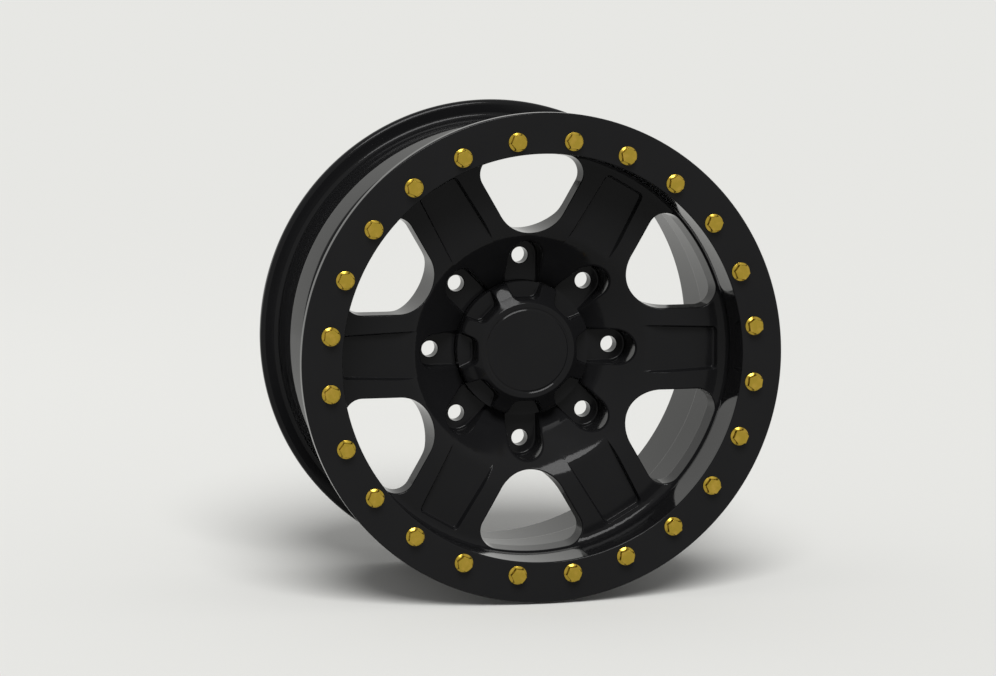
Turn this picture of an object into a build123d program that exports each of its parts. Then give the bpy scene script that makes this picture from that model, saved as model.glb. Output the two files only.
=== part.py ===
from build123d import *
import os
from math import cos, radians, sin, sqrt, tan

# Beadlock wheel, upright, with its axis along Y and its outboard face towards -Y.
# The origin is the centre of the hub's mounting face, which lies on the rim's centre plane.
# All lengths are in millimetres and all angles in degrees.

# Rim: a 17 x 9 inch rim with a J flange on the inboard side
rim_width = 228.6
bead_seat_taper = 5.0
inboard_seat_length = 28.0
ledge_length = 68.3
flange_height = 17.5
flange_lip = 11.0
well_depth = 15.3
well_wall_length = 5.0
barrel_wall = 6.0
mouth_wall = 7.35
mouth_setback = 4.0

# Outboard bead seat and the shoulder behind it
pilot_drop = 0.8
pilot_length = 22.3
shoulder_height = 6.0
shoulder_front_length = 4.0
shoulder_back_length = 18.0

# Clamp ring, which reaches past the bead seat to hold the bead, and its bolts
ring_outer_radius = 234.0
ring_width = 39.0
ring_thickness = 10.0
bead_overlap = 15.7
bolt_count = 24
bolt_inset = 26.0
bolt_diameter = 8.0
bolt_length = 30.0
bolt_flange_diameter = 17.9
bolt_flange_thickness = 1.8
bolt_head_height = 8.0
bolt_hex_width = 13.0
bolt_flange_sides = 8
bolt_shank_sides = 6
ring_hole_clearance = 0.5
thread_clearance = 0.1
tapped_depth_spare = 2.0

# Spoke disc
spoke_count = 6
spoke_width = 80.0
spoke_thickness = 21.0
lip_clearance = 0.5
lip_depth = 45.3
lip_bevel = 7.0
window_gap = 2.0
window_inner_radius = 115.2
window_corner_round = 17.5
panel_depth = 6.5
panel_outer_width = 42.0
panel_inner_width = 48.0
panel_gap = 9.5
panel_inner_radius = 108.0
panel_draft = 12.0

# Bowl, hub and lug seats
bowl_radius = 123.5
bowl_angle = 40.0
bowl_bevel = 7.5
hub_bore_radius = 62.15
mounting_radius = 112.0
spoke_root_radius = 140.0
lug_count = 8
lug_circle_radius = 90.0
lug_hole_diameter = 16.0
lug_seat_thickness = 17.0
lug_pocket_width = 32.5
back_pocket_depth = 16.0
back_pocket_inner_wall = 6.0
back_pocket_outer_wall = 8.0
back_pocket_inner_width = 20.0
back_pocket_outer_width = 36.0
back_pocket_draft = 3.0
valve_hole_diameter = 11.5
valve_angle = 150.0

# Centre cap, seated on a ledge round the hub bore
cap_ledge = 3.85
cap_clearance = 0.5
cap_seat_depth = 7.0
cap_height = 42.0
cap_wall_height = 26.0
cap_face_radius = 46.0
cap_top_wall = 3.0
cap_notch_radius = 50.0
cap_notch_height = 21.0
cap_notch_inner_width = 27.0
cap_notch_outer_width = 35.0
cap_core_wall = 3.5

# Levels along the axis, from the mounting face outwards
clamp_face = -rim_width / 2
ring_face = clamp_face - ring_thickness
spoke_face = clamp_face + lip_depth
spoke_back = spoke_face + spoke_thickness
lug_seat = -lug_seat_thickness
cap_seat = lug_seat + cap_seat_depth
cap_face = cap_seat - cap_height

# Radii that follow from the ones above
ring_inner_radius = ring_outer_radius - ring_width
bolt_circle_radius = ring_outer_radius - bolt_inset
bead_seat_radius = ring_outer_radius - bead_overlap
well_radius = bead_seat_radius - well_depth
barrel_radius = well_radius - barrel_wall
lip_radius = ring_inner_radius + lip_clearance
window_outer_radius = lip_radius - window_gap
panel_outer_radius = lip_radius - panel_gap
cap_bore_radius = hub_bore_radius + cap_ledge
cap_radius = cap_bore_radius - cap_clearance
spoke_angle = 360 / spoke_count
half_sector = radians(spoke_angle / 2)


def lathe(points):
    """Turn a closed profile of (radius, level along the axis) about the axle."""
    return revolve(make_face(Polyline(*points, close=True)), Axis.Y)


def facing(level):
    """Plane across the axle at a level, with its normal pointing outboard."""
    return Plane.XZ.offset(-level)


def around(tool, count, start=0.0):
    """Copies of a tool spaced evenly about the axle, the first at an angle from +X towards +Z."""
    return [Rot(0, -(start + 360 / count * index), 0) * tool for index in range(count)]


def post(outline, radius, level, depth):
    """Prism parallel to the axle, from a level inboard."""
    return extrude(facing(level) * Pos(radius, 0) * outline, depth, dir=(0, 1, 0))


def bolt_hole(clearance):
    """Outline of a bolt's hole, which clears the shank's corners."""
    return RegularPolygon(bolt_diameter / 2 + clearance, bolt_shank_sides, major_radius=False)


def tapered_outline(inner_radius, inner_width, outer_radius, outer_width):
    """Symmetric four-sided outline about the X axis."""
    return make_face(Polyline(
        (inner_radius, -inner_width / 2),
        (outer_radius, -outer_width / 2),
        (outer_radius, outer_width / 2),
        (inner_radius, inner_width / 2),
        close=True,
    ))


def casting_blank():
    """Barrel, disc and hub as one turned solid."""
    bead_face = rim_width / 2
    flange_radius = bead_seat_radius + flange_height
    flange_end = bead_face + flange_lip
    seat_end = bead_face - inboard_seat_length
    seat_end_radius = bead_seat_radius - inboard_seat_length * tan(radians(bead_seat_taper))
    ledge_end = seat_end - ledge_length
    well_end = ledge_end - well_wall_length
    mouth_radius = seat_end_radius - mouth_wall
    pilot_radius = bead_seat_radius - pilot_drop
    pilot_end = clamp_face + pilot_length
    shoulder = pilot_end + shoulder_front_length
    well_start = shoulder + shoulder_back_length
    bowl_slope = tan(radians(bowl_angle))
    bowl_bevel_drop = bowl_bevel * sin(radians(bowl_angle))
    bowl_bevel_radius = bowl_radius - bowl_bevel * cos(radians(bowl_angle))
    cap_bore_rim = spoke_face + (bowl_radius - cap_bore_radius) * bowl_slope
    return lathe([
        (hub_bore_radius, 0),
        (mounting_radius, 0),
        (spoke_root_radius, spoke_back),
        (barrel_radius, spoke_back),
        (barrel_radius, well_end + mouth_setback),
        (mouth_radius, ledge_end + mouth_setback),
        (mouth_radius, flange_end),
        (flange_radius, flange_end),
        (flange_radius, bead_face),
        (bead_seat_radius, bead_face),
        (seat_end_radius, seat_end),
        (seat_end_radius, ledge_end),
        (well_radius, well_end),
        (well_radius, well_start),
        (pilot_radius + shoulder_height, shoulder),
        (pilot_radius, pilot_end),
        (pilot_radius, clamp_face),
        (lip_radius, clamp_face),
        (lip_radius, spoke_face - lip_bevel),
        (lip_radius - lip_bevel, spoke_face),
        (bowl_radius + bowl_bevel, spoke_face),
        (bowl_bevel_radius, spoke_face + bowl_bevel_drop),
        (cap_bore_radius, cap_bore_rim),
        (cap_bore_radius, cap_seat),
        (hub_bore_radius, cap_seat),
    ])


def window_tool():
    """Opening between two spokes: parallel spoke sides, a full round inside and an arc outside."""
    half_spoke = spoke_width / 2
    along = sqrt(window_outer_radius**2 - half_spoke**2)
    corner_x = along * cos(half_sector) + half_spoke * sin(half_sector)
    corner_y = along * sin(half_sector) - half_spoke * cos(half_sector)
    apex = half_spoke / sin(half_sector)
    inner_round = (window_inner_radius - apex) * sin(half_sector) / (1 - sin(half_sector))
    outline = make_face([
        Line((apex, 0), (corner_x, -corner_y)),
        ThreePointArc((corner_x, -corner_y), (window_outer_radius, 0), (corner_x, corner_y)),
        Line((corner_x, corner_y), (apex, 0)),
    ])
    outline = fillet(outline.vertices().sort_by(Axis.X)[:1], inner_round)
    outline = fillet(outline.vertices().sort_by(Axis.X)[-2:], window_corner_round)
    return extrude(facing(spoke_face - lip_bevel) * outline, lip_bevel - spoke_face, dir=(0, 1, 0))


def panel_tool():
    """Shallow recess along a spoke's face, running out over the bowl's rim."""
    outline = tapered_outline(
        panel_inner_radius, panel_inner_width, panel_outer_radius, panel_outer_width
    )
    return extrude(facing(spoke_face) * outline, panel_depth, dir=(0, 1, 0), taper=panel_draft)


def lug_pocket_tool():
    """Socket pocket over a lug hole, open towards the centre cap."""
    run = Pos(lug_circle_radius / 2, 0) * Rectangle(lug_circle_radius, lug_pocket_width)
    end = Pos(lug_circle_radius, 0) * Circle(lug_pocket_width / 2)
    depth = lug_seat - spoke_face
    return extrude(facing(lug_seat) * (run + end), depth, dir=(0, -1, 0))


def back_pocket_tool():
    """Weight-saving pocket in the mounting face, between two lugs."""
    outline = tapered_outline(
        cap_bore_radius + back_pocket_inner_wall,
        back_pocket_inner_width,
        mounting_radius - back_pocket_outer_wall,
        back_pocket_outer_width,
    )
    return extrude(facing(0) * outline, back_pocket_depth, dir=(0, -1, 0), taper=back_pocket_draft)


def valve_tool():
    """Radial hole through the rim at a window's outer end."""
    level = spoke_face + spoke_thickness / 2
    cylinder = Cylinder(valve_hole_diameter / 2, 2 * barrel_wall + well_radius - window_outer_radius)
    return Pos((well_radius + window_outer_radius) / 2, level, 0) * Rot(0, 90, 0) * cylinder


def wheel_casting():
    wheel = casting_blank()
    wheel -= around(panel_tool(), spoke_count)
    wheel -= around(window_tool(), spoke_count, spoke_angle / 2)
    wheel -= around(lug_pocket_tool(), lug_count)
    wheel -= around(back_pocket_tool(), lug_count, 180 / lug_count)
    lug_hole = post(Circle(lug_hole_diameter / 2), lug_circle_radius, lug_seat, lug_seat_thickness)
    wheel -= around(lug_hole, lug_count)
    tapped_depth = bolt_length - ring_thickness + tapped_depth_spare
    tapped_hole = post(bolt_hole(thread_clearance), bolt_circle_radius, clamp_face, tapped_depth)
    wheel -= around(tapped_hole, bolt_count, 180 / bolt_count)
    wheel -= around(valve_tool(), 1, valve_angle)
    return wheel


def beadlock_ring():
    """Flat clamp ring."""
    ring = lathe([
        (ring_inner_radius, clamp_face),
        (ring_outer_radius, clamp_face),
        (ring_outer_radius, ring_face),
        (ring_inner_radius, ring_face),
    ])
    hole = post(bolt_hole(ring_hole_clearance), bolt_circle_radius, ring_face, ring_thickness)
    return ring - around(hole, bolt_count, 180 / bolt_count)


def ring_bolts():
    """Flange bolts with a flat of each hexagon facing the axle."""
    seat = facing(ring_face) * Pos(bolt_circle_radius, 0)
    shank = RegularPolygon(bolt_diameter / 2, bolt_shank_sides)
    flange = RegularPolygon(bolt_flange_diameter / 2, bolt_flange_sides)
    hexagon = RegularPolygon(bolt_hex_width / 2, 6, major_radius=False, rotation=30)
    bolt = extrude(seat * shank, bolt_length, dir=(0, 1, 0))
    bolt += extrude(seat * flange, bolt_flange_thickness, dir=(0, -1, 0))
    bolt += extrude(seat * hexagon, bolt_head_height, dir=(0, -1, 0))
    return Compound(around(bolt, bolt_count, 180 / bolt_count))


def centre_cap():
    """Cast cap with a socket notch in front of each lug and a hollow with a flat behind each notch."""
    wall_top = cap_seat - cap_wall_height
    cap = lathe([
        (0, cap_face),
        (cap_face_radius, cap_face),
        (cap_radius, wall_top),
        (cap_radius, cap_seat),
        (0, cap_seat),
    ])
    core_flat = cap_notch_radius - cap_core_wall
    core_corner = core_flat / cos(radians(180 / lug_count))
    slope = (wall_top - cap_face) / (cap_radius - cap_face_radius)
    core_top = cap_face + (core_corner - cap_face_radius) * slope + cap_top_wall
    hollow = RegularPolygon(core_flat, lug_count, major_radius=False, rotation=180 / lug_count)
    cap -= extrude(facing(cap_seat) * hollow, cap_seat - core_top, dir=(0, -1, 0))
    outline = tapered_outline(
        cap_notch_radius, cap_notch_inner_width, cap_bore_radius, cap_notch_outer_width
    )
    notch = extrude(facing(cap_seat - cap_notch_height) * outline, cap_height, dir=(0, -1, 0))
    return cap - around(notch, lug_count)


parts = {
    "wheel_casting": wheel_casting(),
    "beadlock_ring": beadlock_ring(),
    "ring_bolts": ring_bolts(),
    "centre_cap": centre_cap(),
}

os.makedirs("parts", exist_ok=True)
for name, solid in parts.items():
    export_step(solid, f"parts/{name}.step")
    print(name, "volume", round(solid.volume / 1000, 1), "cm3")
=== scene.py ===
import math

import bmesh
import bpy
import numpy as np
from mathutils import Matrix, Vector
from mathutils.geometry import delaunay_2d_cdt


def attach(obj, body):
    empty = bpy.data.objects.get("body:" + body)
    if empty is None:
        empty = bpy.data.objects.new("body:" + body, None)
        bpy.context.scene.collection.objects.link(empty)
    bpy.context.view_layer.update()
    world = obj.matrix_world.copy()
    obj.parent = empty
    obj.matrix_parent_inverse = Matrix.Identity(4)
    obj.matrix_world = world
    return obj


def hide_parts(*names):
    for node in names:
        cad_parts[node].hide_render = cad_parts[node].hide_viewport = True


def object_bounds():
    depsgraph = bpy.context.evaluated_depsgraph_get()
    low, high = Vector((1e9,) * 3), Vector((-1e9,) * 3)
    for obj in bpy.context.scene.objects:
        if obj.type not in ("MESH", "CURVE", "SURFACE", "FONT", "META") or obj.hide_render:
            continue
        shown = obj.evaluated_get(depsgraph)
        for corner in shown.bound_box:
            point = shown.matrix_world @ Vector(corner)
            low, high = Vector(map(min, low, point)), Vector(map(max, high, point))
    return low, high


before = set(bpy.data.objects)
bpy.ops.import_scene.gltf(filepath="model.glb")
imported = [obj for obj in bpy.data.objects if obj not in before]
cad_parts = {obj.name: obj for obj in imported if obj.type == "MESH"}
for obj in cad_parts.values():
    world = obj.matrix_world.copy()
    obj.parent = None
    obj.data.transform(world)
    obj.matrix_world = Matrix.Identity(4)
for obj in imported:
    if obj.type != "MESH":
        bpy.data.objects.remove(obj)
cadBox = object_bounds()
print("frame loaded:", sorted(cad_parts))

mm = 0.001          # every shape below is drawn in millimetres
turn = 2 * math.pi
wheelSteps = 360    # steps round the wheel
weldReach = 0.02    # points closer than this become one
sliverReach = 0.005     # faces thinner than this are dropped
planTolerance = 1e-5    # plan points closer than this are one corner
testBatch = 4000    # points tested against an outline at a time
sideSpacing = 2.2   # steps along the straight sides of pockets
filletDegrees = (90, 62, 31)    # where the fillet at a pocket's foot is sampled
wallDegrees = (0, 15, 30, 45, 58, 70, 81)   # where a rounding up to a wall is sampled


# a profile's corners as (radius, level, rounding): each rounded corner becomes an arc tangent to both its
# sides, by turning evenly from the first touching point to the second about the arc's centre
def roundedProfile(corners, stepDegrees=9.0):
    points = []
    last = len(corners) - 1
    for index, (radius, level, rounding) in enumerate(corners):
        corner = np.array((radius, level), float)
        if rounding == 0 or index in (0, last):
            points.append(corner)
            continue
        before = np.array(corners[index - 1][:2], float) - corner
        after = np.array(corners[index + 1][:2], float) - corner
        before /= np.linalg.norm(before)
        after /= np.linalg.norm(after)
        half = math.acos(np.clip(before @ after, -1, 1)) / 2
        middle = (before + after) / np.linalg.norm(before + after)
        centre = corner + middle * rounding / math.sin(half)
        first = corner + before * rounding / math.tan(half) - centre
        end = corner + after * rounding / math.tan(half) - centre
        sweep = math.pi - 2 * half
        steps = max(2, int(math.ceil(math.degrees(sweep) / stepDegrees)))
        share = np.linspace(0, 1, steps + 1)[:, None]
        arc = (np.sin((1 - share) * sweep) * first + np.sin(share * sweep) * end) / math.sin(sweep)
        points.extend(centre + arc)
    return np.array(points)


# points on a circle round the axle at one level: radius times cosine and sine of each angle
def ringPoints(angles, radius, level):
    angles = np.asarray(angles, float)
    levels = np.broadcast_to(level, angles.shape)
    return np.stack([radius * np.cos(angles), levels, radius * np.sin(angles)], -1)


evenAngles = np.arange(wheelSteps) * turn / wheelSteps


# rows of points joined by quads, each row closed on itself
def closedStrip(rows):
    rows = np.asarray(rows, float)
    count, steps = rows.shape[:2]
    index = np.arange(count * steps).reshape(count, steps)
    onward = np.roll(index, -1, 1)
    quads = np.stack([index[:-1], onward[:-1], onward[1:], index[1:]], -1).reshape(-1, 4)
    return rows.reshape(-1, 3), quads


# a profile turned about the axle
def lathe(profile, angles=evenAngles):
    return closedStrip([ringPoints(angles, radius, level) for radius, level in profile])


# a flat lid over a closed row: a fan to the row's centre
def lid(row):
    row = np.asarray(row, float)
    steps = len(row)
    points = np.vstack([row, row.mean(0)])
    index = np.arange(steps)
    return points, np.stack([index, np.roll(index, -1), np.full(steps, steps)], -1)


# plan points turned about the axle by an angle
def turned(plan, angle):
    c, s = math.cos(angle), math.sin(angle)
    return plan @ np.array(((c, s), (-s, c)))


# a plan point's place in the nearest of several equal sectors: (along the sector's middle line, across it)
def folded(plan, count, start=0.0):
    radius = np.hypot(plan[:, 0], plan[:, 1])
    angle = np.arctan2(plan[:, 1], plan[:, 0]) - start
    sector = turn / count
    angle = angle - np.round(angle / sector) * sector
    return np.stack([radius * np.cos(angle), radius * np.sin(angle)], -1)


# distance from points to a closed outline, less than nought inside: the nearest of its sides, and inside is
# where a line to the right crosses it an odd number of times
def outlineDistance(points, outline):
    result = np.empty(len(points))
    nextCorner = np.roll(outline, -1, 0)
    side = nextCorner - outline
    length2 = (side ** 2).sum(1)
    for begin in range(0, len(points), testBatch):
        part = points[begin:begin + testBatch, None, :]
        share = np.clip(((part - outline) * side).sum(2) / length2, 0, 1)
        near = np.sqrt((((part - outline) - share[..., None] * side) ** 2).sum(2).min(1))
        below = outline[None, :, 1] > part[..., 1]
        crosses = below != (nextCorner[None, :, 1] > part[..., 1])
        rise = np.where(side[:, 1] == 0, 1e-12, side[:, 1])
        meet = outline[None, :, 0] + (part[..., 1] - outline[None, :, 1]) * side[:, 0] / rise
        inside = (crosses & (part[..., 0] < meet)).sum(1) % 2 == 1
        result[begin:begin + testBatch] = np.where(inside, -near, near)
    return result


# height lost at a rounded edge: the radius less the circle's height, full at the edge, nought a radius away
def edgeDrop(distance, radius):
    inward = np.clip(radius - distance, 0, radius)
    return radius - np.sqrt(radius ** 2 - inward ** 2)


# distances from an edge at which its rounding is sampled, evenly round the arc, and one beyond it
def edgeSteps(radius, beyond, count=5):
    angle = np.linspace(0, math.pi / 2, count)
    return list(radius * (1 - np.cos(angle))) + [radius + beyond]


# offsets inside a pocket's outline at which its foot's fillet is sampled, and the outline itself
def filletSteps(radius):
    return [-radius * (1 - math.cos(math.radians(a))) for a in filletDegrees] + [0.0]


# radii at which a rounding up to a wall is sampled: its start plus its radius times the sine of each angle
def wallRadii(wall, rounding):
    return [wall - rounding + rounding * math.sin(math.radians(a)) for a in wallDegrees]


# larger of two heights, with a parabola for the change from one to the other
def smoothLarger(a, b, width):
    share = np.clip(0.5 + 0.5 * (a - b) / width, 0, 1)
    return b + (a - b) * share + width * share * (1 - share)


# a surface over the wheel's plan: lines in plan are kept as edges, gaps are left open, and each point
# gets the height that the function gives for it
def planSurface(lines, gaps, outer, inner, height):
    points, edges = [], []
    for line, closed in lines:
        start = sum(len(p) for p in points)
        count = len(line)
        index = np.arange(count if closed else count - 1)
        edges.append(np.stack([start + index, start + (index + 1) % count], -1))
        points.append(line)
    points = np.vstack(points)
    edges = np.vstack(edges)
    made = delaunay_2d_cdt(points.tolist(), edges.tolist(), [], 0, planTolerance)
    plan = np.array(made[0])
    triangles = np.array(made[2])
    middle = plan[triangles].mean(1)
    keep = outlineDistance(middle, outer) < 0
    if inner is not None:
        keep &= outlineDistance(middle, inner) > 0
    for gap in gaps:
        near = np.hypot(*(middle - gap.mean(0)).T) < np.hypot(*(gap - gap.mean(0)).T).max() + 1
        inside = np.zeros(len(middle), bool)
        inside[near] = outlineDistance(middle[near], gap) < 0
        keep &= ~inside
    level = height(plan)
    return np.stack([plan[:, 0], level, plan[:, 1]], -1), triangles[keep]


# a closed line in plan raised to the heights given for it
def raised(plan, level):
    return np.stack([plan[:, 0], np.broadcast_to(level, len(plan)), plan[:, 1]], -1)


# pieces of surface welded into one closed mesh, with outward faces and sharp edges past an angle
def weldedObject(name, surfaces, sharpDegrees=38.0, cutter=None):
    points, faces = [], []
    start = 0
    for surfacePoints, surfaceFaces in surfaces:
        points.append(surfacePoints)
        faces.extend((surfaceFaces + start).tolist())
        start += len(surfacePoints)
    mesh = bpy.data.meshes.new(name)
    mesh.from_pydata((np.vstack(points) * mm).tolist(), [], faces)
    work = bmesh.new()
    work.from_mesh(mesh)
    bmesh.ops.remove_doubles(work, verts=work.verts, dist=weldReach * mm)
    bmesh.ops.dissolve_degenerate(work, dist=sliverReach * mm, edges=work.edges)
    bmesh.ops.recalc_face_normals(work, faces=work.faces)
    if work.calc_volume(signed=True) < 0:
        bmesh.ops.reverse_faces(work, faces=work.faces)
    work.to_mesh(mesh)
    work.free()
    loopEdges = np.empty(len(mesh.loops), np.int32)
    mesh.loops.foreach_get("edge_index", loopEdges)
    openEdges = int((np.bincount(loopEdges, minlength=len(mesh.edges)) != 2).sum())
    piece = bpy.data.objects.new(name, mesh)
    bpy.context.scene.collection.objects.link(piece)
    if cutter is not None:
        cutFrom(piece, cutter)
    piece.data.shade_smooth()
    piece.data.set_sharp_from_angle(angle=math.radians(sharpDegrees))
    normals = piece.modifiers.new("even_normals", "WEIGHTED_NORMAL")
    normals.keep_sharp = True
    print(name, "faces", len(piece.data.polygons), "open edges", openEdges)
    return piece


# one mesh taken out of another, and the tool thrown away
def cutFrom(piece, cutter):
    cut = piece.modifiers.new("cut", "BOOLEAN")
    cut.operation = "DIFFERENCE"
    cut.solver = "MANIFOLD"
    cut.object = cutter
    bpy.context.view_layer.update()
    evaluated = piece.evaluated_get(bpy.context.evaluated_depsgraph_get())
    result = bpy.data.meshes.new_from_object(evaluated)
    piece.modifiers.clear()
    old = piece.data
    piece.data = result
    result.name = piece.name
    bpy.data.meshes.remove(old)
    bpy.data.objects.remove(cutter)


# closed round bars, given by centre, direction, radius and length, in one mesh for cutting
def barTool(name, bars, steps=32):
    points, faces = [], []
    for centre, direction, radius, length in bars:
        axis = Vector(direction).normalized()
        side = axis.orthogonal().normalized()
        across = axis.cross(side)
        angle = np.arange(steps) * turn / steps
        cos, sin = np.cos(angle)[:, None], np.sin(angle)[:, None]
        circle = radius * (cos * np.array(side) + sin * np.array(across))
        ends = [np.array(centre) + circle + np.array(axis) * length * sign / 2 for sign in (-1, 1)]
        start = sum(len(p) for p in points)
        wallPoints, wallFaces = closedStrip(ends)
        points.append(wallPoints)
        faces.extend((wallFaces + start).tolist())
        faces.append([start + i for i in reversed(range(steps))])
        faces.append([start + steps + i for i in range(steps)])
    mesh = bpy.data.meshes.new(name)
    mesh.from_pydata((np.vstack(points) * mm).tolist(), [], faces)
    work = bmesh.new()
    work.from_mesh(mesh)
    bmesh.ops.recalc_face_normals(work, faces=work.faces)
    work.to_mesh(mesh)
    work.free()
    tool = bpy.data.objects.new(name, mesh)
    bpy.context.scene.collection.objects.link(tool)
    return tool


# the cast wheel, in millimetres: radii, levels along the axle from the mounting face, and edge roundings
casting = {
    "clampFace": -114.3, "clampEdge": 0.8, "pilot": 217.5, "pilotEnd": -92.0, "pilotFillet": 2.0,
    "shoulder": 223.5, "shoulderLevel": -88.0, "shoulderRounding": 1.6,
    "well": 203.0, "wellStart": -70.0, "wellFillet": 8.0, "wellEnd": 5.0, "stepRounding": 5.0,
    "taperFoot": 211.5, "taperStart": 10.0, "ledge": 216.0, "ledgeStart": 52.0, "ledgeRounding": 40.0,
    "seatEnd": 215.85, "seatLevel": 86.3, "seatRounding": 60.0,
    "beadSeat": 218.3, "beadFace": 114.3, "beadRounding": 5.0,
    "flange": 235.8, "flangeEnd": 125.3, "flangeRounding": 4.0,
    "mouth": 208.5, "mouthLevel": 22.0, "mouthEdge": 2.0, "barrel": 197.0, "barrelEnd": 17.0, "barrelRounding": 5.0,
    "lip": 195.5, "spokeFace": -69.0, "spokeBack": -48.0, "lipRounding": 8.0, "backRounding": 10.0,
    "bowl": 123.5, "bowlAngle": 40.0, "bowlRounding": 50.0, "capBore": 66.0, "capSeat": -10.0,
    "hubBore": 62.15, "mounting": 112.0, "mountingEdge": 2.0, "spokeRoot": 140.0, "rootRounding": 12.0,
    "spokes": 6, "spokeHalf": 40.0, "windowInner": 115.2, "windowOuter": 193.2, "windowCorner": 17.5,
    "windowEdge": 1.4, "windowDraft": 1.2,
    "panelDepth": 6.5, "panelInnerHalf": 22.9, "panelOuterHalf": 19.7, "panelInner": 100.0, "panelOuter": 184.6,
    "panelMouth": 109.5, "panelCorner": 3.5, "panelWall": 12.0, "panelFillet": 0.4, "panelEdge": 2.2,
    "lugs": 8, "lugCircle": 90.0, "lugHole": 8.0, "lugChamfer": 0.8, "lugMargin": 0.7, "lugSeat": -17.0,
    "lugPocketHalf": 16.25, "pocketWall": 0.7, "pocketEdge": 1.8, "pocketFillet": 2.0, "pocketStart": 66.5,
    "backPocketDepth": 16.0, "backInner": 72.0, "backOuter": 104.0, "backInnerHalf": 10.0, "backOuterHalf": 18.0,
    "backCorner": 5.0, "backEdge": 1.2,
    "bolts": 24, "boltCircle": 208.0, "tapped": 4.1, "tappedDepth": 22.0, "drillStart": 2.0,
    "valveAngle": 150.0, "valveLevel": -58.5, "valveHole": 5.75, "valveMiddle": 198.0, "valveReach": 26.0,
}
# rings of the casting's mesh, and how far they stay from edges that have lines of their own
castingMesh = {
    "frontRings": [71, 77, 83, 89, 95, 101, 106, 110, 112.5, 114.5, 116.3, 118.3, 120.3, 122.3, 124.3, 126.3,
                   128.3, 130.3, 131.6, 134.8, 138, 141.5, 145, 152, 159, 166, 173, 180, 184.5],
    "backRings": [66, 109.5, 110.4, 111.3, 112.2, 113, 116, 120, 124, 128, 131.5, 133.5, 135.5, 137.5, 139.5,
                  141.5, 143.5, 145.5, 147.5, 152, 160, 168, 176],
    "panelFilletSteps": (-4.5, -2.4, -1.1, -0.4, 0.4, 1.2), "panelEdgeSteps": 7, "panelMargin": 0.6,
    "windowClear": 0.9, "panelClear": 1.2, "panelFloorClear": 2.6, "pocketClear": 1.2, "backClear": 1.0,
    "lugClear": 1.2, "wallShares": (0.0, 0.02, 0.98, 1.0),
}
m = castingMesh
c = casting
sector = turn / c["spokes"]
windowStart = sector / 2
pocketSector = turn / c["lugs"]
lugRings = (c["lugHole"], c["lugHole"] + c["lugChamfer"], c["lugHole"] + c["lugChamfer"] + c["lugMargin"])


# points strictly between two plan points, evenly along the straight line
def between(begin, end, spacing=3.0):
    share = np.linspace(0, 1, int(np.linalg.norm(end - begin) / spacing) + 2)[1:-1, None]
    return begin + share * (end - begin)


# window between two spokes in its own sector: points and outward normals along two straight sides,
# a full round inside, an arc about the axle outside and two corner rounds
def windowOutline(spacing=1.6):
    lean = sector / 2
    apex = c["spokeHalf"] / math.sin(lean)
    innerRound = (c["windowInner"] - apex) * math.sin(lean) / (1 - math.sin(lean))
    innerCentre = np.array((apex + innerRound / math.sin(lean), 0.0))
    corner, outer = c["windowCorner"], c["windowOuter"]
    off = c["spokeHalf"] + corner
    along = math.sqrt((outer - corner) ** 2 - off ** 2)
    cornerCentre = np.array((along * math.cos(lean) + off * math.sin(lean),
                             along * math.sin(lean) - off * math.cos(lean)))
    sideAngle = math.pi / 2 + lean
    outerAngle = math.atan2(cornerCentre[1], cornerCentre[0])
    origin = np.zeros(2)
    arcs = [
        (innerCentre, innerRound, sideAngle, turn - sideAngle),
        (cornerCentre * (1, -1), corner, -sideAngle, -outerAngle),
        (origin, outer, -outerAngle, outerAngle),
        (cornerCentre, corner, outerAngle, sideAngle),
    ]
    points, normals = [], []
    for centre, radius, first, end in arcs:
        steps = max(3, int(abs(end - first) * radius / spacing))
        angle = np.linspace(first, end, steps + 1)
        normal = np.stack([np.cos(angle), np.sin(angle)], -1)
        arc = centre + radius * normal
        if points and np.linalg.norm(arc[0] - points[-1][-1]) < 1e-6:
            arc, normal = arc[1:], normal[1:]
        elif points:
            points.append(between(points[-1][-1], arc[0]))
            normals.append(np.repeat(normal[:1], len(points[-1]), 0))
        points.append(arc)
        normals.append(normal)
    points.append(between(points[-1][-1], points[0][0]))
    normals.append(np.repeat(normals[0][:1], len(points[-1]), 0))
    return np.vstack(points), np.vstack(normals)


windowLine, windowNormal = windowOutline()


# one window's outline, moved along its normals by an offset and turned to its sector
def windowLoop(offset, index):
    return turned(windowLine + windowNormal * offset, windowStart + index * sector)


# distance from the nearest window's outline
def windowDistance(plan):
    return outlineDistance(folded(plan, c["spokes"], windowStart), windowLine)


# four-sided recess along its sector's middle line, narrower or wider outwards: its four corners, each moved
# inwards by the corner radius, so that a distance from this core less the radius has rounded corners
def recessCore(innerRadius, outerRadius, innerHalf, outerHalf, corner):
    inner, outer = innerRadius + corner, outerRadius - corner
    return np.array(((inner, -innerHalf + corner), (outer, -outerHalf + corner),
                     (outer, outerHalf - corner), (inner, innerHalf - corner)))


# line at one reach all round a core: an arc about each corner and a straight run beside each side
def recessLoop(core, reach, spacing=1.5):
    points = []
    for index in range(4):
        corner, onward, before = core[index], core[(index + 1) % 4], core[index - 1]
        sideIn, sideOut = corner - before, onward - corner
        first = math.atan2(-sideIn[0], sideIn[1])
        end = math.atan2(-sideOut[0], sideOut[1])
        if end < first:
            end += turn
        steps = max(2, int((end - first) * reach / spacing))
        angle = np.linspace(first, end, steps + 1)
        arc = corner + reach * np.stack([np.cos(angle), np.sin(angle)], -1)
        normalOut = np.array((sideOut[1], -sideOut[0])) / np.linalg.norm(sideOut)
        share = np.linspace(0, 1, max(2, int(np.linalg.norm(sideOut) / sideSpacing)) + 1)[1:-1, None]
        points += [arc, corner + normalOut * reach + share * sideOut]
    return np.vstack(points)


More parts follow.
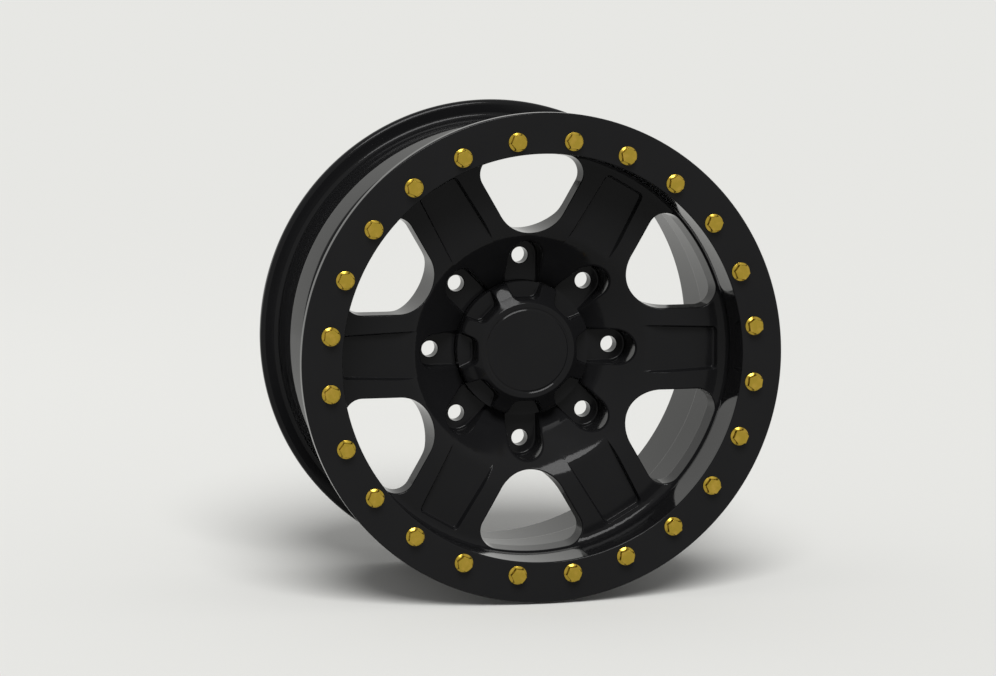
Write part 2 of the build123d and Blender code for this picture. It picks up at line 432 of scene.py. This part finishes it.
panelCore = recessCore(c["panelInner"], c["panelOuter"], c["panelInnerHalf"], c["panelOuterHalf"],
                       c["panelCorner"])
backCore = recessCore(c["backInner"], c["backOuter"], c["backInnerHalf"], c["backOuterHalf"],
                      c["backCorner"])


# distance from the nearest spoke's panel: from its core, less the corner radius
def panelDistance(plan):
    return outlineDistance(folded(plan, c["spokes"]), panelCore) - c["panelCorner"]


# distance from the nearest weight pocket, which lies between two lugs: from its core, less the corner radius
def backPocketDistance(plan):
    return outlineDistance(folded(plan, c["lugs"], pocketSector / 2), backCore) - c["backCorner"]


# slot over a lug: distance from its middle line, which ends at the lug circle, less half its width
def lugPocketDistance(plan):
    local = folded(plan, c["lugs"])
    beyond = np.maximum(local[:, 0] - c["lugCircle"], 0)
    return np.hypot(beyond, local[:, 1]) - c["lugPocketHalf"]


# distance from the nearest lug's axis
def lugDistance(plan):
    local = folded(plan, c["lugs"])
    return np.hypot(local[:, 0] - c["lugCircle"], local[:, 1])


# line at one offset round a lug's slot: two straight sides from an inner radius, and a half circle at the lug
def slotLoop(offset, innerRadius, spacing=1.4):
    half = c["lugPocketHalf"] + offset
    start = math.sqrt(innerRadius ** 2 - half ** 2)
    run = np.linspace(start, c["lugCircle"], int((c["lugCircle"] - start) / sideSpacing) + 2)[:-1]
    angle = np.linspace(-math.pi / 2, math.pi / 2, int(math.pi * half / spacing) + 1)
    end = np.stack([c["lugCircle"] + half * np.cos(angle), half * np.sin(angle)], -1)
    lower = np.stack([run, np.full(len(run), -half)], -1)
    upper = np.stack([run[::-1], np.full(len(run), half)], -1)
    return np.vstack([lower, end, upper])


# a circle in plan: radius times cosine and sine of evenly spaced angles
def circleLine(radius, steps=wheelSteps):
    angle = np.arange(steps) * turn / steps
    return np.stack([radius * np.cos(angle), radius * np.sin(angle)], -1)


# stretches of a closed line where a test holds, each with whether it is still closed
def keptStretches(line, keep):
    if keep.all():
        return [(line, True)]
    start = int(np.argmin(keep))
    line, keep = np.roll(line, -start, 0), np.roll(keep, -start)
    changes = np.flatnonzero(np.diff(np.append(keep, False).astype(int))) + 1
    spans = zip(changes[::2], changes[1::2])
    return [(line[begin:end], False) for begin, end in spans if end - begin > 1]


bowlDepth = (c["bowl"] - c["capBore"]) * math.tan(math.radians(c["bowlAngle"]))
frontProfile = roundedProfile([
    (c["capBore"], c["spokeFace"] + bowlDepth, 0),
    (c["bowl"], c["spokeFace"], c["bowlRounding"]),
    (c["lip"], c["spokeFace"], c["lipRounding"]),
    (c["lip"], c["spokeFace"] - 2 * c["lipRounding"], 0),
], stepDegrees=1.0)[:-1]
backProfile = roundedProfile([
    (c["hubBore"], 0.0, 0), (c["mounting"], 0.0, c["mountingEdge"]),
    (c["spokeRoot"], c["spokeBack"], c["rootRounding"]), (c["barrel"], c["spokeBack"], c["backRounding"]),
    (c["barrel"], c["spokeBack"] + 2 * c["backRounding"], 0),
], stepDegrees=1.0)[:-1]


# outboard height of the casting: the turned bowl and face by radius, sunk to each panel's floor and sloping
# wall, then to each lug pocket's floor, steep wall and rounded edge, with chamfered holes and rounded windows
def frontHeight(plan):
    radius = np.hypot(plan[:, 0], plan[:, 1])
    level = np.interp(radius, frontProfile[:, 0], frontProfile[:, 1])
    distance = panelDistance(plan)
    wall = 0.5 * (distance + np.hypot(distance, c["panelFillet"]))
    panel = c["spokeFace"] + c["panelDepth"] - wall / math.tan(math.radians(c["panelWall"]))
    level = smoothLarger(level, panel, c["panelEdge"])
    distance = lugPocketDistance(plan)
    top = level + edgeDrop(distance - c["pocketWall"], c["pocketEdge"])
    foot = c["lugSeat"] - edgeDrop(-distance, c["pocketFillet"])
    share = np.clip(distance / c["pocketWall"], 0, 1)
    wall = foot + (top - foot) * share
    level = np.where(distance >= c["pocketWall"], top, np.where(distance > 0, wall, foot))
    level = level + np.clip(c["lugHole"] + c["lugChamfer"] - lugDistance(plan), 0, c["lugChamfer"])
    return level + edgeDrop(np.maximum(windowDistance(plan), 0), c["windowEdge"])


# inboard height of the casting: the turned hub face, flank and spoke backs by radius, sunk to each weight
# pocket's floor, steep wall and rounded edge, with chamfered holes and rounded windows
def backHeight(plan):
    radius = np.hypot(plan[:, 0], plan[:, 1])
    level = np.interp(radius, backProfile[:, 0], backProfile[:, 1])
    distance = backPocketDistance(plan)
    top = level - edgeDrop(distance - c["pocketWall"], c["backEdge"])
    foot = -c["backPocketDepth"] + edgeDrop(-distance, c["pocketFillet"])
    share = np.clip(distance / c["pocketWall"], 0, 1)
    level = np.where(distance >= c["pocketWall"], top,
                     np.where(distance > 0, foot + (top - foot) * share, foot))
    level = level - np.clip(c["lugHole"] + c["lugChamfer"] - lugDistance(plan), 0, c["lugChamfer"])
    return level - edgeDrop(np.maximum(windowDistance(plan) + c["windowDraft"], 0), c["windowEdge"])


# a circle in plan about each lug's axis
def lugLoops(radius, steps=48):
    circle = circleLine(radius, steps)
    return [turned(circle + (c["lugCircle"], 0), index * pocketSector) for index in range(c["lugs"])]


# outboard side: the heights above over lines that follow each window, pocket, hole and panel, and rings between
def frontSurface():
    lines = [(circleLine(c["lip"]), True), (circleLine(c["capBore"]), True)]
    windowSteps = edgeSteps(c["windowEdge"], beyond=0.5)
    for index in range(c["spokes"]):
        lines += [(windowLoop(offset, index), True) for offset in windowSteps]
    pocketSteps = filletSteps(c["pocketFillet"])
    pocketSteps += [c["pocketWall"] + step for step in edgeSteps(c["pocketEdge"], beyond=0.7)]
    for offset in pocketSteps:
        slot = slotLoop(offset, c["pocketStart"])
        lines += [(turned(slot, index * pocketSector), False) for index in range(c["lugs"])]
    for radius in lugRings:
        lines += [(loop, True) for loop in lugLoops(radius)]
    lean = math.tan(math.radians(c["panelWall"]))
    panelTop, panelEdge = c["panelDepth"] * lean, c["panelEdge"] * lean
    reaches = c["panelFillet"] * np.array(m["panelFilletSteps"])
    reaches = np.append(reaches, panelTop + panelEdge * np.linspace(-1, 1, m["panelEdgeSteps"]))
    for reach in np.append(reaches, panelTop + panelEdge + m["panelMargin"]):
        loop = recessLoop(panelCore, c["panelCorner"] + reach)
        kept = keptStretches(loop, loop[:, 0] > c["panelMouth"])
        lines += [(turned(line, index * sector), False) for line, _ in kept for index in range(c["spokes"])]
    for radius in m["frontRings"] + wallRadii(c["lip"], c["lipRounding"]):
        circle = circleLine(radius)
        panelGap = panelDistance(circle)
        keep = (panelGap > panelTop + panelEdge + m["panelClear"]) | (panelGap < -m["panelFloorClear"])
        keep |= radius < c["panelMouth"]
        keep &= windowDistance(circle) > c["windowEdge"] + m["windowClear"]
        keep &= lugPocketDistance(circle) > c["pocketWall"] + c["pocketEdge"] + m["pocketClear"]
        lines += keptStretches(circle, keep)
    gaps = [windowLoop(0.0, index) for index in range(c["spokes"])] + lugLoops(c["lugHole"])
    return planSurface(lines, gaps, circleLine(c["lip"]), circleLine(c["capBore"]), frontHeight)


# inboard side: the heights above over lines that follow each window, weight pocket and hole, and rings between
def backSurface():
    lines = [(circleLine(c["barrel"]), True), (circleLine(c["hubBore"]), True)]
    windowSteps = [step - c["windowDraft"] for step in edgeSteps(c["windowEdge"], beyond=0.6)]
    for index in range(c["spokes"]):
        lines += [(windowLoop(offset, index), True) for offset in windowSteps]
    pocketSteps = filletSteps(c["pocketFillet"])
    pocketSteps += [c["pocketWall"] + step for step in edgeSteps(c["backEdge"], beyond=0.7, count=4)]
    for offset in pocketSteps:
        loop = recessLoop(backCore, c["backCorner"] + offset)
        lines += [(turned(loop, (index + 0.5) * pocketSector), True) for index in range(c["lugs"])]
    for radius in lugRings:
        lines += [(loop, True) for loop in lugLoops(radius)]
    for radius in m["backRings"] + wallRadii(c["barrel"], c["backRounding"]):
        circle = circleLine(radius)
        keep = windowDistance(circle) + c["windowDraft"] > c["windowEdge"] + m["backClear"]
        keep &= backPocketDistance(circle) > c["pocketWall"] + c["backEdge"] + m["backClear"]
        keep &= lugDistance(circle) > c["lugHole"] + c["lugChamfer"] + m["lugClear"]
        lines += keptStretches(circle, keep)
    gaps = [windowLoop(-c["windowDraft"], index) for index in range(c["spokes"])] + lugLoops(c["lugHole"])
    return planSurface(lines, gaps, circleLine(c["barrel"]), circleLine(c["hubBore"]), backHeight)


# straight wall between an outboard and an inboard line, with a row close to each end to keep it flat
def throughWall(front, back):
    return closedStrip([front + share * (back - front) for share in m["wallShares"]])


# the whole casting: both sides, straight walls through windows and lug holes, the stepped bore of the cap and
# the hub, and the rim's profile turned about the axle from the lip round to the barrel
def castingSurfaces():
    surfaces = [frontSurface(), backSurface()]
    for index in range(c["spokes"]):
        front, back = windowLoop(0.0, index), windowLoop(-c["windowDraft"], index)
        surfaces.append(throughWall(raised(front, frontHeight(front)), raised(back, backHeight(back))))
    for loop in lugLoops(c["lugHole"]):
        surfaces.append(throughWall(raised(loop, frontHeight(loop)), raised(loop, backHeight(loop))))
    capEdge = circleLine(c["capBore"])
    boreEdge = circleLine(c["hubBore"])
    surfaces.append(closedStrip([
        raised(capEdge, frontHeight(capEdge)), raised(capEdge, c["capSeat"]),
        raised(boreEdge, c["capSeat"]), raised(boreEdge, backHeight(boreEdge)),
    ]))
    rim = roundedProfile([
        (c["lip"], frontProfile[-1, 1], 0), (c["lip"], c["clampFace"], c["clampEdge"]),
        (c["pilot"], c["clampFace"], c["clampEdge"]), (c["pilot"], c["pilotEnd"], c["pilotFillet"]),
        (c["shoulder"], c["shoulderLevel"], c["shoulderRounding"]), (c["well"], c["wellStart"], c["wellFillet"]),
        (c["well"], c["wellEnd"], c["stepRounding"]), (c["taperFoot"], c["taperStart"], c["stepRounding"]),
        (c["ledge"], c["ledgeStart"], c["ledgeRounding"]), (c["seatEnd"], c["seatLevel"], c["seatRounding"]),
        (c["beadSeat"], c["beadFace"], c["beadRounding"]), (c["flange"], c["beadFace"], c["beadRounding"]),
        (c["flange"], c["flangeEnd"], c["flangeRounding"]), (c["mouth"], c["flangeEnd"], c["mouthEdge"]),
        (c["mouth"], c["mouthLevel"], c["barrelRounding"]), (c["barrel"], c["barrelEnd"], c["barrelRounding"]),
        (c["barrel"], backProfile[-1, 1], 0),
    ], stepDegrees=12.0)
    surfaces.append(lathe(rim))
    return surfaces


boltAngles = (np.arange(c["bolts"]) + 0.5) * turn / c["bolts"]
valveAngle = math.radians(c["valveAngle"])
valveOut = np.array((math.cos(valveAngle), 0.0, math.sin(valveAngle)))
axle = (0, 1, 0)
drillMiddle = (0, (c["tappedDepth"] - c["drillStart"]) / 2, 0)
holes = [(place + drillMiddle, axle, c["tapped"], c["tappedDepth"] + c["drillStart"])
         for place in ringPoints(boltAngles, c["boltCircle"], c["clampFace"])]
valvePlace = valveOut * c["valveMiddle"] + (0, c["valveLevel"], 0)
holes.append((valvePlace, valveOut, c["valveHole"], c["valveReach"]))
wheelCasting = weldedObject("wheelCasting", castingSurfaces(), cutter=barTool("holeTool", holes))


# the flat clamp ring, in millimetres
clampRing = {"inner": 195.0, "outer": 234.0, "back": -114.3, "face": -124.3, "middle": -119.3, "seam": 205.0,
             "frontEdge": 1.5, "backEdge": 0.6, "hole": 4.5, "holeReach": 30.0}
r = clampRing
ringProfile = roundedProfile([
    (r["seam"], r["back"], 0), (r["outer"], r["back"], r["backEdge"]),
    (r["outer"], r["face"], r["frontEdge"]), (r["inner"], r["face"], r["frontEdge"]),
    (r["inner"], r["back"], r["backEdge"]), (r["seam"], r["back"], 0),
], stepDegrees=18.0)
ringHoles = [(place, axle, r["hole"], r["holeReach"])
             for place in ringPoints(boltAngles, c["boltCircle"], r["middle"])]
beadlockRing = weldedObject("beadlockRing", [lathe(ringProfile)], cutter=barTool("ringTool", ringHoles))


# a flange bolt, in millimetres, standing on the ring's face
flangeBolt = {"acrossFlats": 13.0, "head": 8.0, "topEdge": 0.35, "topCircle": 13.8, "topChamfer": 30.0,
              "flange": 17.9, "flangeEdge": 1.1, "flangeTop": 2.3, "flangeRounding": 0.35, "shank": 8.0,
              "length": 30.0, "tip": 0.9, "crown": 0.8, "foot": 0.3, "steps": 96}


# rings of points down the bolt: the hexagon's radius is half its width over the cosine of the angle from the
# nearest flat, and its top drops with the radius beyond the chamfer's circle
def boltSurfaces(place, angle):
    b = flangeBolt
    around = np.arange(b["steps"]) * turn / b["steps"]
    fromFlat = (around + math.pi / 6) % (math.pi / 3) - math.pi / 6
    hexagon = b["acrossFlats"] / 2 / np.cos(fromFlat)
    slope = math.tan(math.radians(b["topChamfer"]))
    full = np.ones(b["steps"])
    rim, shank, foot = b["flange"] / 2, b["shank"] / 2, b["foot"]
    edge, rounding = b["topEdge"], b["flangeRounding"]

    def topLevel(radius):
        return b["head"] - np.maximum(radius - b["topCircle"] / 2, 0) * slope

    rows = [(hexagon * b["crown"], b["head"])]
    rows += [(hexagon - edge * (1 - math.sin(a)), topLevel(hexagon) - edge * (1 - math.cos(a)))
             for a in np.linspace(0, math.pi / 2, 4)]
    rows += [(hexagon, b["flangeTop"] + foot), (hexagon + foot, b["flangeTop"]),
             (rim - rounding, b["flangeEdge"])]
    rows += [(rim - rounding * (1 - math.sin(a)), b["flangeEdge"] - rounding * (1 - math.cos(a)))
             for a in np.linspace(math.pi / 6, math.pi / 2, 3)]
    rows += [(rim, foot), (rim - foot, 0.0), (shank, 0.0), (shank, b["tip"] - b["length"]),
             (shank - b["tip"], -b["length"])]
    cos, sin = math.cos(angle), math.sin(angle)
    points = []
    for radius, height in rows:
        along, across = radius * np.cos(around), radius * np.sin(around)
        points.append(np.stack([place[0] + along * cos - across * sin, place[1] - height * full,
                                place[2] + along * sin + across * cos], -1))
    return [closedStrip(points), lid(points[0]), lid(points[-1])]


boltPlaces = ringPoints(boltAngles, c["boltCircle"], r["face"])
allBolts = [surface for place, angle in zip(boltPlaces, boltAngles) for surface in boltSurfaces(place, angle)]
ringBolts = weldedObject("ringBolts", allBolts, sharpDegrees=30.0)


# the centre cap, in millimetres
capShape = {"wall": 65.5, "seat": -10.0, "wallTop": -38.5, "face": -52.0, "rim": 46.0, "groove": 40.5,
            "grooveHalf": 1.6, "grooveDepth": 0.9, "grooveRounding": 1.0, "rimRounding": 2.0, "edge": 5.0,
            "notchInner": 50.0, "notchInnerHalf": 13.5, "notchOuter": 66.0, "notchOuterHalf": 17.5,
            "notchReach": 80.0, "notchCorner": 6.5, "notchFloor": -31.0, "notchLip": 0.2,
            "notchWall": 0.6, "notchEdge": 1.1, "notchFillet": 1.5, "hollowFlat": 46.5, "hollowTop": -45.45,
            "steps": 240, "rings": np.arange(6, 41, 8.5), "ringClear": 0.8, "wallClear": 0.25, "angleClear": 0.006}
k = capShape
capProfile = roundedProfile([
    (0, k["face"], 0), (k["groove"] - k["grooveHalf"], k["face"], k["grooveRounding"]),
    (k["groove"], k["face"] + k["grooveDepth"], k["grooveRounding"]),
    (k["groove"] + k["grooveHalf"], k["face"], k["grooveRounding"]),
    (k["rim"], k["face"], k["rimRounding"]), (k["wall"], k["wallTop"], k["edge"]),
    (k["wall"], k["wallTop"] + 2 * k["edge"], 0),
], stepDegrees=3.0)[:-1]
notchRun = (k["notchReach"] - k["notchInner"]) / (k["notchOuter"] - k["notchInner"])
notchReachHalf = k["notchInnerHalf"] + (k["notchOuterHalf"] - k["notchInnerHalf"]) * notchRun
notchCore = recessCore(k["notchInner"], k["notchReach"], k["notchInnerHalf"], notchReachHalf, k["notchCorner"])


# distance from the nearest notch: from its core, less the corner radius
def notchDistance(plan):
    return outlineDistance(folded(plan, c["lugs"]), notchCore) - k["notchCorner"]


# outboard height of the cap: its turned face by radius, sunk to each notch's floor, steep wall and rounded edge
def capHeight(plan):
    radius = np.hypot(plan[:, 0], plan[:, 1])
    level = np.interp(radius, capProfile[:, 0], capProfile[:, 1])
    distance = notchDistance(plan)
    top = level + edgeDrop(distance - k["notchWall"], k["notchEdge"])
    top = np.minimum(top, k["notchFloor"] - k["notchLip"])
    foot = np.maximum(k["notchFloor"] - edgeDrop(-distance, k["notchFillet"]), level)
    share = np.clip(distance / k["notchWall"], 0, 1)
    wall = foot + (top - foot) * share
    return np.where(distance >= k["notchWall"], top, np.where(distance > 0, wall, foot))


# the whole cap: the heights above over lines that follow each notch out to the wall, rings between, a straight
# wall down to the seat, and an eight-sided hollow with a flat top
def capSurfaces():
    steps = filletSteps(k["notchFillet"])
    steps += [k["notchWall"] + step for step in edgeSteps(k["notchEdge"], beyond=0.5)]
    lines, crossings = [], []
    for offset in steps:
        loop = recessLoop(notchCore, k["notchCorner"] + offset, spacing=0.9)
        loop = np.roll(loop, -int(np.argmax(loop[:, 0])), 0)
        inside = np.hypot(loop[:, 0], loop[:, 1]) < k["wall"] - k["wallClear"]
        for line, _ in keptStretches(loop, inside):
            ends = []
            for end, onward in ((line[0], line[0] - line[1]), (line[-1], line[-1] - line[-2])):
                onward = onward / np.linalg.norm(onward)
                along = end @ onward
                reach = -along + math.sqrt(along ** 2 - end @ end + k["wall"] ** 2)
                ends.append(end + onward * reach)
                crossings.append(math.atan2(ends[-1][1], ends[-1][0]))
            line = np.vstack([ends[0], line, ends[1]])
            lines += [(turned(line, index * pocketSector), False) for index in range(c["lugs"])]
    crossings = np.array(crossings)
    angles = (crossings[:, None] + np.arange(c["lugs"]) * pocketSector).ravel() % turn
    even = np.arange(k["steps"]) * turn / k["steps"]
    apart = np.abs((even[:, None] - angles + math.pi) % turn - math.pi).min(1)
    angles = np.sort(np.concatenate([angles, even[apart > k["angleClear"]]]))
    edge = np.stack([k["wall"] * np.cos(angles), k["wall"] * np.sin(angles)], -1)
    lines.append((edge, True))
    for radius in np.unique(np.round(np.concatenate([capProfile[1:-1, 0], k["rings"]]), 2)):
        circle = circleLine(radius, k["steps"])
        keep = notchDistance(circle) > k["notchWall"] + k["notchEdge"] + k["ringClear"]
        lines += keptStretches(circle, keep)
    surfaces = [planSurface(lines, [], edge, None, capHeight)]
    fromFlat = (angles + pocketSector / 2) % pocketSector - pocketSector / 2
    outward = np.stack([np.cos(angles), np.sin(angles)], -1)
    hollow = (k["hollowFlat"] / np.cos(fromFlat))[:, None] * outward
    surfaces.append(closedStrip([raised(edge, capHeight(edge)), raised(edge, k["seat"]),
                                 raised(hollow, k["seat"]), raised(hollow, k["hollowTop"])]))
    surfaces.append(lid(raised(hollow, k["hollowTop"])))
    return surfaces


centreCap = weldedObject("centreCap", capSurfaces())


# sRGB hex to linear colour
def linear(hexColour):
    parts = [int(hexColour[i:i + 2], 16) / 255 for i in (1, 3, 5)]
    return tuple(p / 12.92 if p <= 0.04045 else ((p + 0.055) / 1.055) ** 2.4 for p in parts) + (1.0,)


# a node with its settings and its inputs, each a value or another node's output; i0 is the first input
def addNode(tree, kind, settings=None, **inputs):
    node = tree.nodes.new(kind)
    for name, value in (settings or {}).items():
        setattr(node, name, value)
    for name, value in inputs.items():
        numbered = name[0] == "i" and name[1:].isdigit()
        socket = node.inputs[int(name[1:]) if numbered else name.replace("_", " ")]
        if isinstance(value, bpy.types.NodeSocket):
            tree.links.new(value, socket)
        else:
            socket.default_value = value
    return node


# an empty node material and its tree
def newMaterial(name):
    material = bpy.data.materials.new(name)
    material.use_nodes = True
    tree = material.node_tree
    tree.nodes.clear()
    return material, tree


noiseLow, noiseHigh = 0.3, 0.7      # the range in which most of a noise lies

# powder-coated cast aluminium: powder melted and baked to a smooth black film with a very faint orange peel
coatLook = {"black": "#121213", "worn": "#161617", "roughness": 0.1, "roughnessSpread": 0.03, "gloss": 0.095,
            "cloudSize": 60.0, "peelSize": 1.6, "peelHeight": 0.012, "peelStrength": 0.03}
# the cap: moulded, then sprayed with a slightly darker black paint that levels as the coat does
capLook = {**coatLook, "black": "#111112", "worn": "#151516"}


def powderCoat(name, look):
    material, tree = newMaterial(name)
    place = addNode(tree, "ShaderNodeTexCoord")
    peel = addNode(tree, "ShaderNodeTexNoise", Vector=place.outputs["Object"],
                   Scale=1 / (look["peelSize"] * mm), Detail=2.0, Roughness=0.5)
    cloud = addNode(tree, "ShaderNodeTexNoise", Vector=place.outputs["Object"],
                    Scale=1 / (look["cloudSize"] * mm), Detail=3.0, Roughness=0.55)
    colour = addNode(tree, "ShaderNodeMix", {"data_type": "RGBA"}, i0=cloud.outputs["Fac"],
                     i6=linear(look["black"]), i7=linear(look["worn"]))
    rough = addNode(tree, "ShaderNodeMapRange", Value=cloud.outputs["Fac"], i1=noiseLow, i2=noiseHigh,
                    i3=look["roughness"] - look["roughnessSpread"], i4=look["roughness"] + look["roughnessSpread"])
    bump = addNode(tree, "ShaderNodeBump", Strength=look["peelStrength"], Distance=look["peelHeight"] * mm,
                   Height=peel.outputs["Fac"])
    shader = addNode(tree, "ShaderNodeBsdfPrincipled", Base_Color=colour.outputs[2], Roughness=rough.outputs[0],
                     Specular_IOR_Level=look["gloss"], Normal=bump.outputs["Normal"])
    addNode(tree, "ShaderNodeOutputMaterial", Surface=shader.outputs["BSDF"])
    return material


# yellow-zinc plated steel: plated, then dipped in chromate, a thin golden film whose tint wanders slightly
zincLook = {"gold": "#b4963b", "olive": "#9e8932", "rose": "#bd9d48", "roseFrom": 0.5, "roseTo": 0.75,
            "roseShare": 0.6, "roughness": 0.22, "roughnessSpread": 0.06, "tintSize": 7.0, "grainSize": 0.5,
            "grainHeight": 0.02, "grainStrength": 0.2}


def yellowZinc(name, look):
    material, tree = newMaterial(name)
    place = addNode(tree, "ShaderNodeTexCoord")
    tint = addNode(tree, "ShaderNodeTexNoise", Vector=place.outputs["Object"],
                   Scale=1 / (look["tintSize"] * mm), Detail=2.0)
    grain = addNode(tree, "ShaderNodeTexNoise", Vector=place.outputs["Object"],
                    Scale=1 / (look["grainSize"] * mm), Detail=2.0)
    first = addNode(tree, "ShaderNodeMix", {"data_type": "RGBA"}, i0=tint.outputs["Fac"],
                    i6=linear(look["olive"]), i7=linear(look["gold"]))
    spread = addNode(tree, "ShaderNodeMapRange", Value=tint.outputs["Fac"], i1=look["roseFrom"],
                     i2=look["roseTo"], i3=0.0, i4=look["roseShare"])
    colour = addNode(tree, "ShaderNodeMix", {"data_type": "RGBA"}, i0=spread.outputs[0], i6=first.outputs[2],
                     i7=linear(look["rose"]))
    rough = addNode(tree, "ShaderNodeMapRange", Value=grain.outputs["Fac"], i1=noiseLow, i2=noiseHigh,
                    i3=look["roughness"] - look["roughnessSpread"], i4=look["roughness"] + look["roughnessSpread"])
    bump = addNode(tree, "ShaderNodeBump", Strength=look["grainStrength"], Distance=look["grainHeight"] * mm,
                   Height=grain.outputs["Fac"])
    shader = addNode(tree, "ShaderNodeBsdfPrincipled", Base_Color=colour.outputs[2], Metallic=1.0,
                     Roughness=rough.outputs[0], Normal=bump.outputs["Normal"])
    addNode(tree, "ShaderNodeOutputMaterial", Surface=shader.outputs["BSDF"])
    return material


blackCoat = powderCoat("satin_black_powder_coat", coatLook)
capCoat = powderCoat("satin_black_cap_paint", capLook)
goldZinc = yellowZinc("yellow_zinc_plating", zincLook)

dressed = (
    (wheelCasting, "wheel_casting", "wheel_coat", blackCoat),
    (beadlockRing, "beadlock_ring", "ring_coat", blackCoat),
    (ringBolts, "ring_bolts", "bolt_zinc", goldZinc),
    (centreCap, "centre_cap", "cap_coat", capCoat),
)
for piece, node, slot, material in dressed:
    piece.data.materials.clear()
    piece.data.materials.append(material)
    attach(piece, "root")
    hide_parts(node)
print("pieces placed")


# the studio, in metres: a pale floor, a wide softbox overhead on the camera's side, a glow from behind on the
# left, and the photograph's camera
studio = {
    "floor": "#d8d8d5", "floorReach": 300.0, "backdrop": "#e8e8e5", "room": "#ffffff", "roomStrength": 0.42,
    "softbox": (-0.08, -0.68, 0.73), "softboxDistance": 3.0, "softboxAngle": 32.0, "softboxStrength": 3.2,
    "backLamp": (-2.3, 1.9, 0.25), "backLampSize": 1.4, "backLampPower": 8.0,
    "camera": (-0.7256, -3.0953, 0.383), "right": (0.9748, -0.2229, 0.0), "up": (0.0262, 0.1147, 0.9930),
    "lens": 117.55, "sensor": 36.0, "sight": 1000.0,
}


# a lamp that shines along a direction and isn't seen itself
def addLamp(name, lamp, place, direction):
    holder = bpy.data.objects.new(name, lamp)
    holder.location = place
    holder.rotation_euler = Vector(direction).to_track_quat("-Z", "Y").to_euler()
    holder.visible_camera = False
    bpy.context.scene.collection.objects.link(holder)


floorMaterial, floorTree = newMaterial("pale_studio_floor")
floorShader = addNode(floorTree, "ShaderNodeBsdfDiffuse", Color=linear(studio["floor"]))
addNode(floorTree, "ShaderNodeOutputMaterial", Surface=floorShader.outputs["BSDF"])
lowest = cadBox[0].z
floorMesh = bpy.data.meshes.new("floor")
reach = studio["floorReach"]
floorCorners = [(x * reach, y * reach, lowest) for x, y in ((-1, -1), (1, -1), (1, 1), (-1, 1))]
floorMesh.from_pydata(floorCorners, [], [(0, 1, 2, 3)])
floorMesh.materials.append(floorMaterial)
floor = bpy.data.objects.new("floor", floorMesh)
bpy.context.scene.collection.objects.link(floor)

# diffuse light comes from the room, and the camera, reflections and clear pieces see the backdrop
world = bpy.data.worlds.new("studioRoom")
world.use_nodes = True
tree = world.node_tree
tree.nodes.clear()
room = addNode(tree, "ShaderNodeBackground", Color=linear(studio["room"]), Strength=studio["roomStrength"])
backdrop = addNode(tree, "ShaderNodeBackground", Color=linear(studio["backdrop"]), Strength=1.0)
rays = addNode(tree, "ShaderNodeLightPath")
mirrored = addNode(tree, "ShaderNodeMath", {"operation": "MAXIMUM"}, i0=rays.outputs["Is Glossy Ray"],
                   i1=rays.outputs["Is Transmission Ray"])
shown = addNode(tree, "ShaderNodeMath", {"operation": "MAXIMUM"}, i0=rays.outputs["Is Camera Ray"],
                i1=mirrored.outputs[0])
seen = addNode(tree, "ShaderNodeMixShader", i0=shown.outputs[0], i1=room.outputs["Background"],
               i2=backdrop.outputs["Background"])
addNode(tree, "ShaderNodeOutputWorld", Surface=seen.outputs["Shader"])
bpy.context.scene.world = world

softbox = bpy.data.lights.new("softbox", "SUN")
softbox.angle = math.radians(studio["softboxAngle"])
softbox.energy = studio["softboxStrength"]
softboxPlace = Vector(studio["softbox"]) * studio["softboxDistance"]
addLamp("softbox", softbox, softboxPlace, -Vector(studio["softbox"]))
backLamp = bpy.data.lights.new("backLamp", "AREA")
backLamp.shape = "DISK"
backLamp.size = studio["backLampSize"]
backLamp.energy = studio["backLampPower"]
addLamp("backLamp", backLamp, studio["backLamp"], -Vector(studio["backLamp"]))

cameraData = bpy.data.cameras.new("photoCamera")
cameraData.sensor_fit = "HORIZONTAL"
cameraData.sensor_width = studio["sensor"]
cameraData.lens = studio["lens"]
cameraData.clip_end = studio["sight"]
camera = bpy.data.objects.new("photoCamera", cameraData)
right, up = Vector(studio["right"]).normalized(), Vector(studio["up"]).normalized()
facing = Matrix((right, up, right.cross(up))).transposed().to_4x4()
camera.matrix_world = Matrix.Translation(studio["camera"]) @ facing
bpy.context.scene.collection.objects.link(camera)
bpy.context.scene.camera = camera
bpy.context.scene.view_settings.view_transform = "Standard"
print("studio ready")
